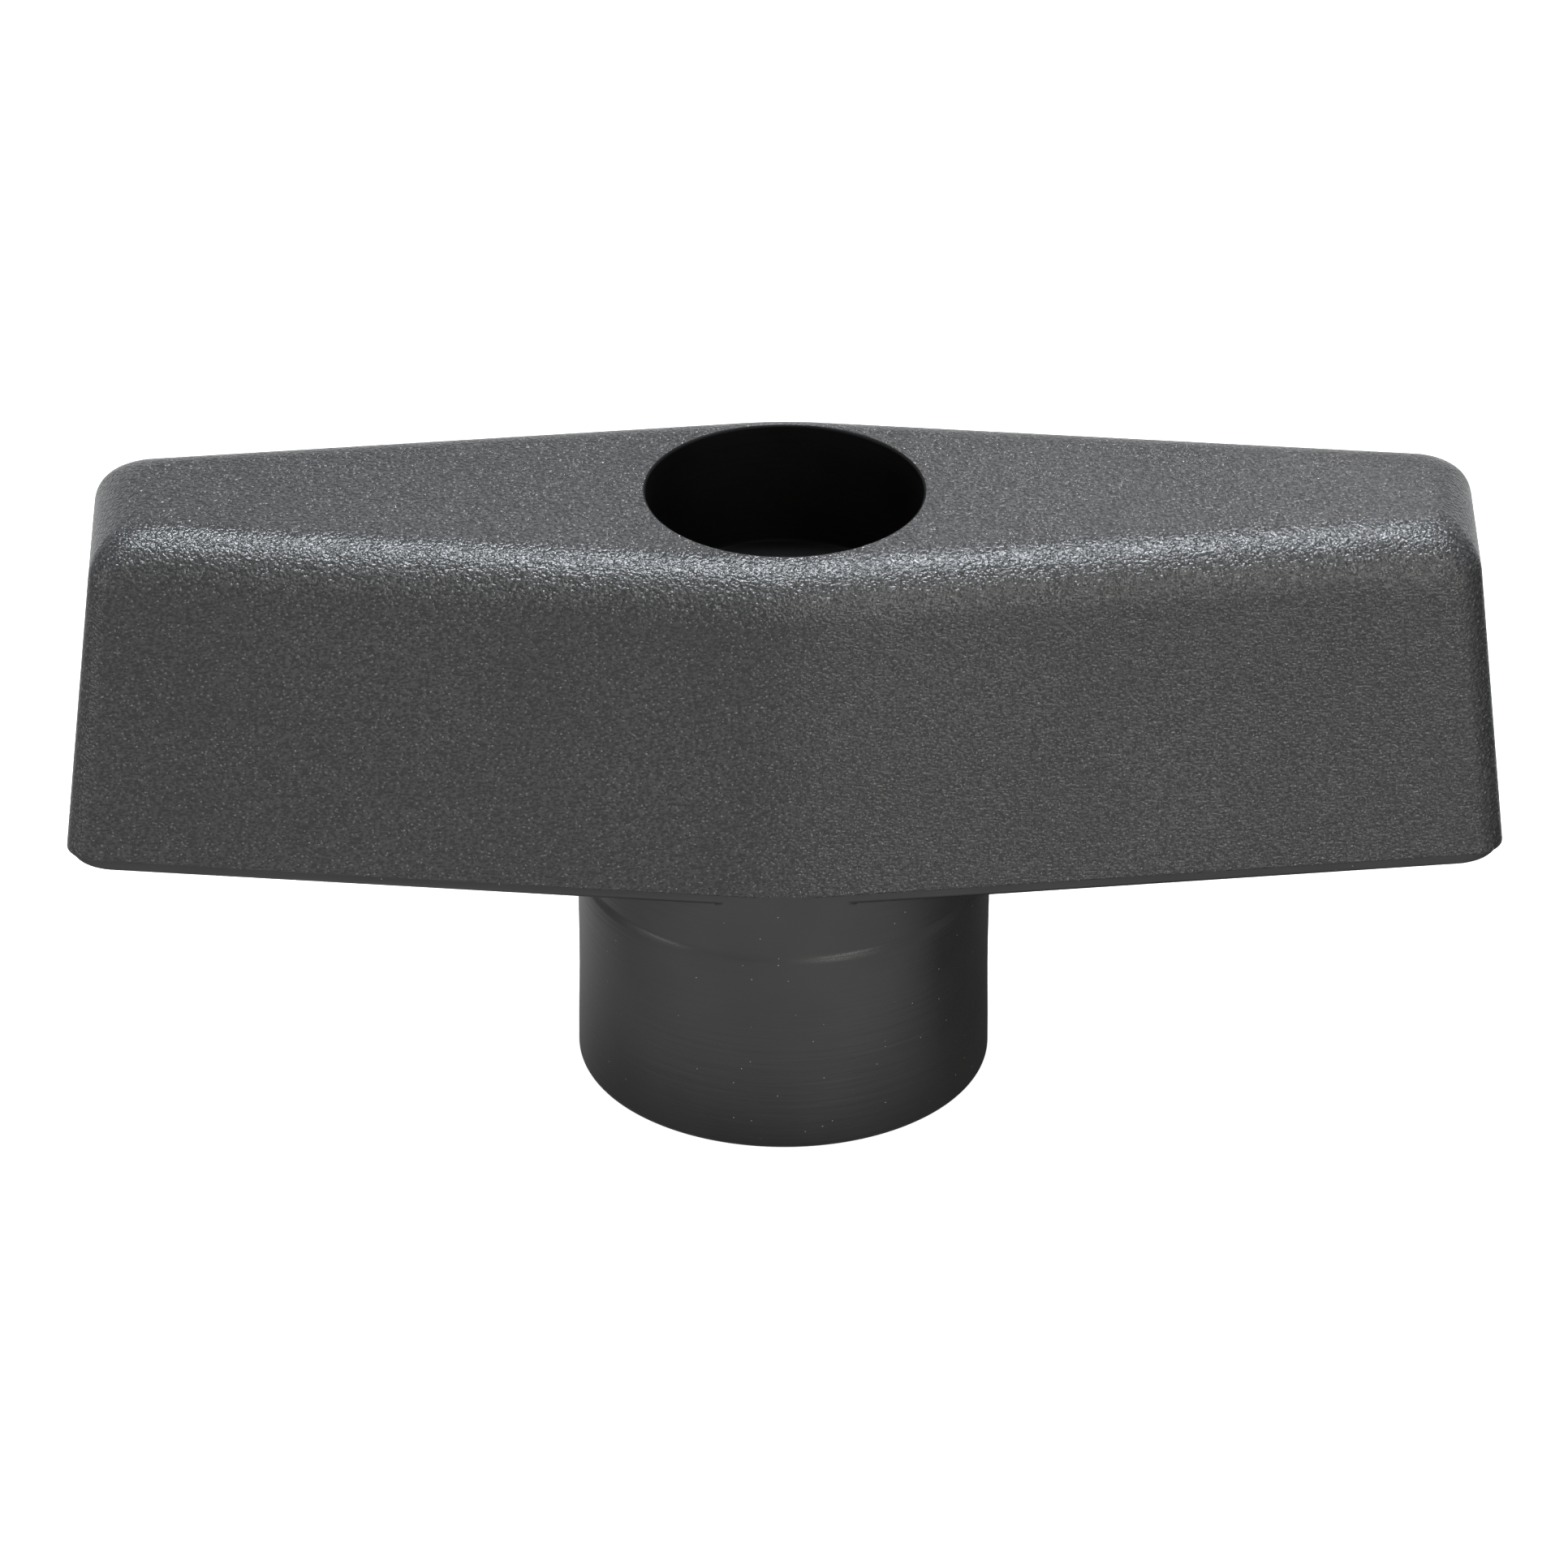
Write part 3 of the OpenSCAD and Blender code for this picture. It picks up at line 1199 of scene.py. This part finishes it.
    def top_openings(self) -> Workpiece:
        """Turn what is open above the bush: the stud hole and the recess with its rounded rim.

        Returns:
            The cutter.
        """
        stud_r = mount_radius("stud_hole")
        recess_r = mount_radius("top_recess")
        floor_z = self.top_z - self.recess_h
        floor_r = self.recess_floor_r
        arc_in, above = 0.08, 0.1
        rings = [
            Ring(stud_r, self.bush.length - self.past),
            Ring(stud_r, floor_z - self.ledge_bevel),
            Ring(stud_r + self.ledge_bevel, floor_z),
            Ring(recess_r - floor_r, floor_z),
            Ring(recess_r - arc_in, floor_z + arc_in),
            Ring(recess_r, floor_z + floor_r),
        ]
        for outwards, down in rounding(self.rim_r, self.edge_steps, stop=self.rim_arc):
            rings.append(Ring(recess_r + outwards, self.top_z - down))
        rings.append(Ring(recess_r + self.rim_r, self.top_z + above))
        piece = Lathe.turn("opening_cutter", rings, self.sides)
        # Painted shade: the recess gets the darker copy of the plastic.
        piece.coat(self.skins, Skin.CORE.value)
        return piece

    def socket(self) -> Workpiece:
        """Copy the bush's outside, which the plastic was moulded round.

        Returns:
            The cutter.
        """
        piece = self.bush.blank("socket_cutter")
        piece.coat(self.skins, Skin.CORE.value)
        return piece

    def build(self) -> bpy.types.Object:
        """Build and dress the body.

        Returns:
            The finished object.
        """
        piece = self.shell()
        piece.cut(self.hollow())
        piece.weld(self.hub())
        piece.cut(self.top_openings())
        piece.cut(self.socket())
        piece.tidy()
        return piece.finish(self.crease)


@dataclass(frozen=True)
class Softbox:
    """A flat studio light.

    Its place is given from the point that it faces: the turn from the front towards the right and the rise,
    in degrees, and the distance in metres. Its size is in metres.
    """

    name: str
    turn: float
    rise: float
    distance: float
    size: tuple[float, float]
    brightness: float
    tint: tuple[float, float, float] = (1.0, 1.0, 1.0)

    def build(self, aim: Vector) -> bpy.types.Object:
        """Hang the light.

        Args:
            aim: The point that it faces.

        Returns:
            The light.
        """
        lamp = bpy.data.lights.new(self.name, "AREA")
        lamp.shape = "RECTANGLE"
        lamp.size, lamp.size_y = self.size
        lamp.energy = self.brightness * math.pi * self.size[0] * self.size[1]
        lamp.color = self.tint
        light = bpy.data.objects.new(self.name, lamp)
        way = heading(self.turn, self.rise)
        facing = way.to_track_quat("Z", "Y").to_matrix().to_4x4()
        light.matrix_world = Matrix.Translation(aim + way * self.distance) @ facing
        bpy.context.scene.collection.objects.link(light)
        return light


@dataclass(frozen=True)
class Room:
    """Even light of the room: pale above, in front and straight behind, and darker low at the sides."""

    high: float = 0.56
    low_front: float = 0.95
    low_left: float = 0.35
    low_right: float = 0.12
    low_back: float = 0.85
    side_span: Span = (-0.6, 0.6)
    front_span: Span = (0.3, -0.7)
    back_span: Span = (0.72, 0.9)
    edge: Span = (-0.15, 0.35)
    tint: Colour = (0.985, 0.99, 1.0, 1.0)

    def build(self) -> bpy.types.World:
        """Build the room's light.

        Returns:
            The world.
        """
        world = bpy.data.worlds.new("studio_room")
        world.use_nodes = True
        tree = NodeBench(world.node_tree)
        way = tree.add("ShaderNodeTexCoord").outputs["Generated"]
        axes = tree.add("ShaderNodeSeparateXYZ", {"Vector": way}).outputs
        sides = tree.spread(axes[0], self.side_span, (self.low_left, self.low_right))
        low = tree.between(tree.spread(axes[1], self.front_span), sides, self.low_front)
        low = tree.between(tree.spread(axes[1], self.back_span), low, self.low_back)
        strength = tree.between(tree.spread(axes[2], self.edge), low, self.high)
        backdrop = world.node_tree.nodes["Background"]
        backdrop.inputs["Color"].default_value = self.tint
        tree.feed(backdrop.inputs["Strength"], strength)
        return world


@dataclass(frozen=True)
class PaintedShadowCard:
    """Dim round card on the floor round the hub, for the object's reflections and shade only: a painted
    shadow of the wings on the floor, dimmer near the hub, at the sides and most on the right.
    """

    radius: float = 34.0
    corners: int = 96
    height: float = -0.05
    inner: float = 12.0
    outer: float = 25.0
    # Glow levels of the painted shadow: near the hub, on the left, on the right and in front.
    near: float = 0.40
    left: float = 0.55
    right: float = 0.10
    front: float = 1.0
    side_span: Span = (-16.0, 16.0)
    front_span: Span = (-6.0, -20.0)

    def shade(self) -> bpy.types.Material:
        """Build the glow of the card, a painted shadow which falls off towards the hub, at the sides and most
        towards the right.

        Returns:
            The material.
        """
        tree = ShaderTree("painted_shadow_card")
        place = tree.place()
        axes = tree.add("ShaderNodeSeparateXYZ", {"Vector": place}).outputs
        reach = tree.add("ShaderNodeVectorMath", {0: place}, operation="LENGTH").outputs["Value"]
        # Painted shadow: the glow is dimmer at the sides under the wings, most on the right, and full in
        # front.
        side = tree.spread(axes[0], self.side_span, (self.left, self.right))
        facing = tree.between(tree.spread(axes[1], self.front_span), side, self.front)
        # Painted shadow: the glow is dimmer near the hub.
        painted_hub_shadow = tree.spread(reach, (self.inner, self.outer), (self.near, 1.0))
        glow = tree.math("MULTIPLY", facing, painted_hub_shadow)
        tree.set(Base_Color=BLACK, Specular_IOR_Level=0.0)
        tree.set(Emission_Color=WHITE, Emission_Strength=glow)
        return tree.material

    def lay(self) -> bpy.types.Object:
        """Lay the card.

        Returns:
            The card.
        """
        card = Workpiece.disc("painted_shadow_card", self.corners, self.radius)
        with card.editing():
            card.slide((0.0, 0.0, self.height))
        card.coat([self.shade()])
        shape = card.finish()
        shape.visible_camera = False
        shape.visible_shadow = False
        return shape


@dataclass
class Studio:
    """The pale floor, the lights and the camera."""

    floor: FloorPaper = field(default_factory=FloorPaper)
    # The card holds a painted shadow of the wings on the floor, seen only in the object's reflections and
    # shading.
    card: PaintedShadowCard = field(default_factory=PaintedShadowCard)
    room: Room = field(default_factory=Room)
    floor_size: float = 6.0
    floor_height: float = -0.1
    aim_below_top: float = 0.018715
    distance: float = 0.620
    elevation: float = 29.66
    turn: float = -0.78
    tilt: float = 0.128
    lens: float = 253.8
    film_width: float = 36.0
    nearest: float = 0.01
    boxes: tuple[Softbox, ...] = (
        Softbox("overhead_box", 180.0, 81.0, 0.60, (0.50, 0.12), 33.0, (0.88, 0.94, 1.0)),
        Softbox("front_box", 17.0, 24.0, 0.70, (0.08, 0.28), 18.0, (1.0, 0.985, 0.91)),
        Softbox("ceiling_box", 5.0, 58.0, 0.80, (0.90, 0.30), 1.3, (1.0, 0.99, 0.95)),
        Softbox("front_strip", 31.0, 1.5, 0.70, (0.30, 0.07), 11.0, (1.0, 0.985, 0.92)),
        Softbox("left_box", -72.0, 4.0, 0.70, (0.34, 0.16), 5.0),
        Softbox("back_lamp", 163.0, 40.0, 0.34, (0.012, 0.012), 260.0),
    )

    def aim(self) -> Vector:
        """Find the point that the camera and the lights face.

        Returns:
            The point in metres.
        """
        low, high = CAD_BOX
        middle = (Vector(low) + Vector(high)) / 2
        return Vector((middle.x, middle.y, high[2] - self.aim_below_top))

    def lay_floor(self) -> bpy.types.Object:
        """Lay a wide, flat sheet of paper, which is seen but doesn't light the object.

        Returns:
            The floor.
        """
        Workpiece.clear()
        bpy.ops.mesh.primitive_plane_add(size=self.floor_size * MM_PER_M)
        sheet = Workpiece("studio_floor")
        with sheet.editing():
            sheet.slide((0.0, 0.0, self.floor_height))
        sheet.coat([self.floor.build()])
        shape = sheet.finish()
        shape.visible_diffuse = False
        shape.visible_glossy = False
        return shape

    def set_camera(self) -> bpy.types.Object:
        """Set up the camera.

        Returns:
            The camera.
        """
        way = heading(self.turn, self.elevation)
        data = bpy.data.cameras.new("studio_camera")
        data.lens = self.lens
        data.sensor_width = self.film_width
        data.clip_start = self.nearest
        camera = bpy.data.objects.new("studio_camera", data)
        roll = Matrix.Rotation(math.radians(self.tilt), 3, "Z")
        look = (-way).to_track_quat("-Z", "Y").to_matrix() @ roll
        camera.matrix_world = Matrix.Translation(self.aim() + way * self.distance) @ look.to_4x4()
        bpy.context.scene.collection.objects.link(camera)
        bpy.context.scene.camera = camera
        return camera

    def build(self) -> None:
        """Set up the whole studio."""
        self.lay_floor()
        self.card.lay()
        bpy.context.scene.world = self.room.build()
        for box in self.boxes:
            box.build(self.aim())
        self.set_camera()
        bpy.context.scene.view_settings.view_transform = "Standard"


def hand_over(piece: bpy.types.Object, node: str, slot: Slot) -> None:
    """Let a piece stand for a CAD node, and report it.

    Args:
        piece: The finished piece.
        node: The CAD node that it stands for.
        slot: The record's material slot.
    """
    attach(piece, BODY)
    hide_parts(node)
    faces = len(piece.data.polygons)
    log.info("%s: stands for %s, %d faces, finish %s", piece.name, node, faces, slot.value)


def main() -> None:
    """Build the pieces and the studio in order."""
    logging.basicConfig(level=logging.INFO, format="%(name)s: %(message)s")
    bush = ThreadedBush()
    hand_over(bush.build(TurnedBrass().build()), "threaded_bush", Slot.BRASS)
    skins = [GrainedPlastic().build(), SmoothPlastic().build(), ShadedCorePlastic().build()]
    hand_over(MouldedBody(bush, skins).build(), "wing_body", Slot.PLASTIC)
    Studio().build()


if __name__ == "__main__":
    main()
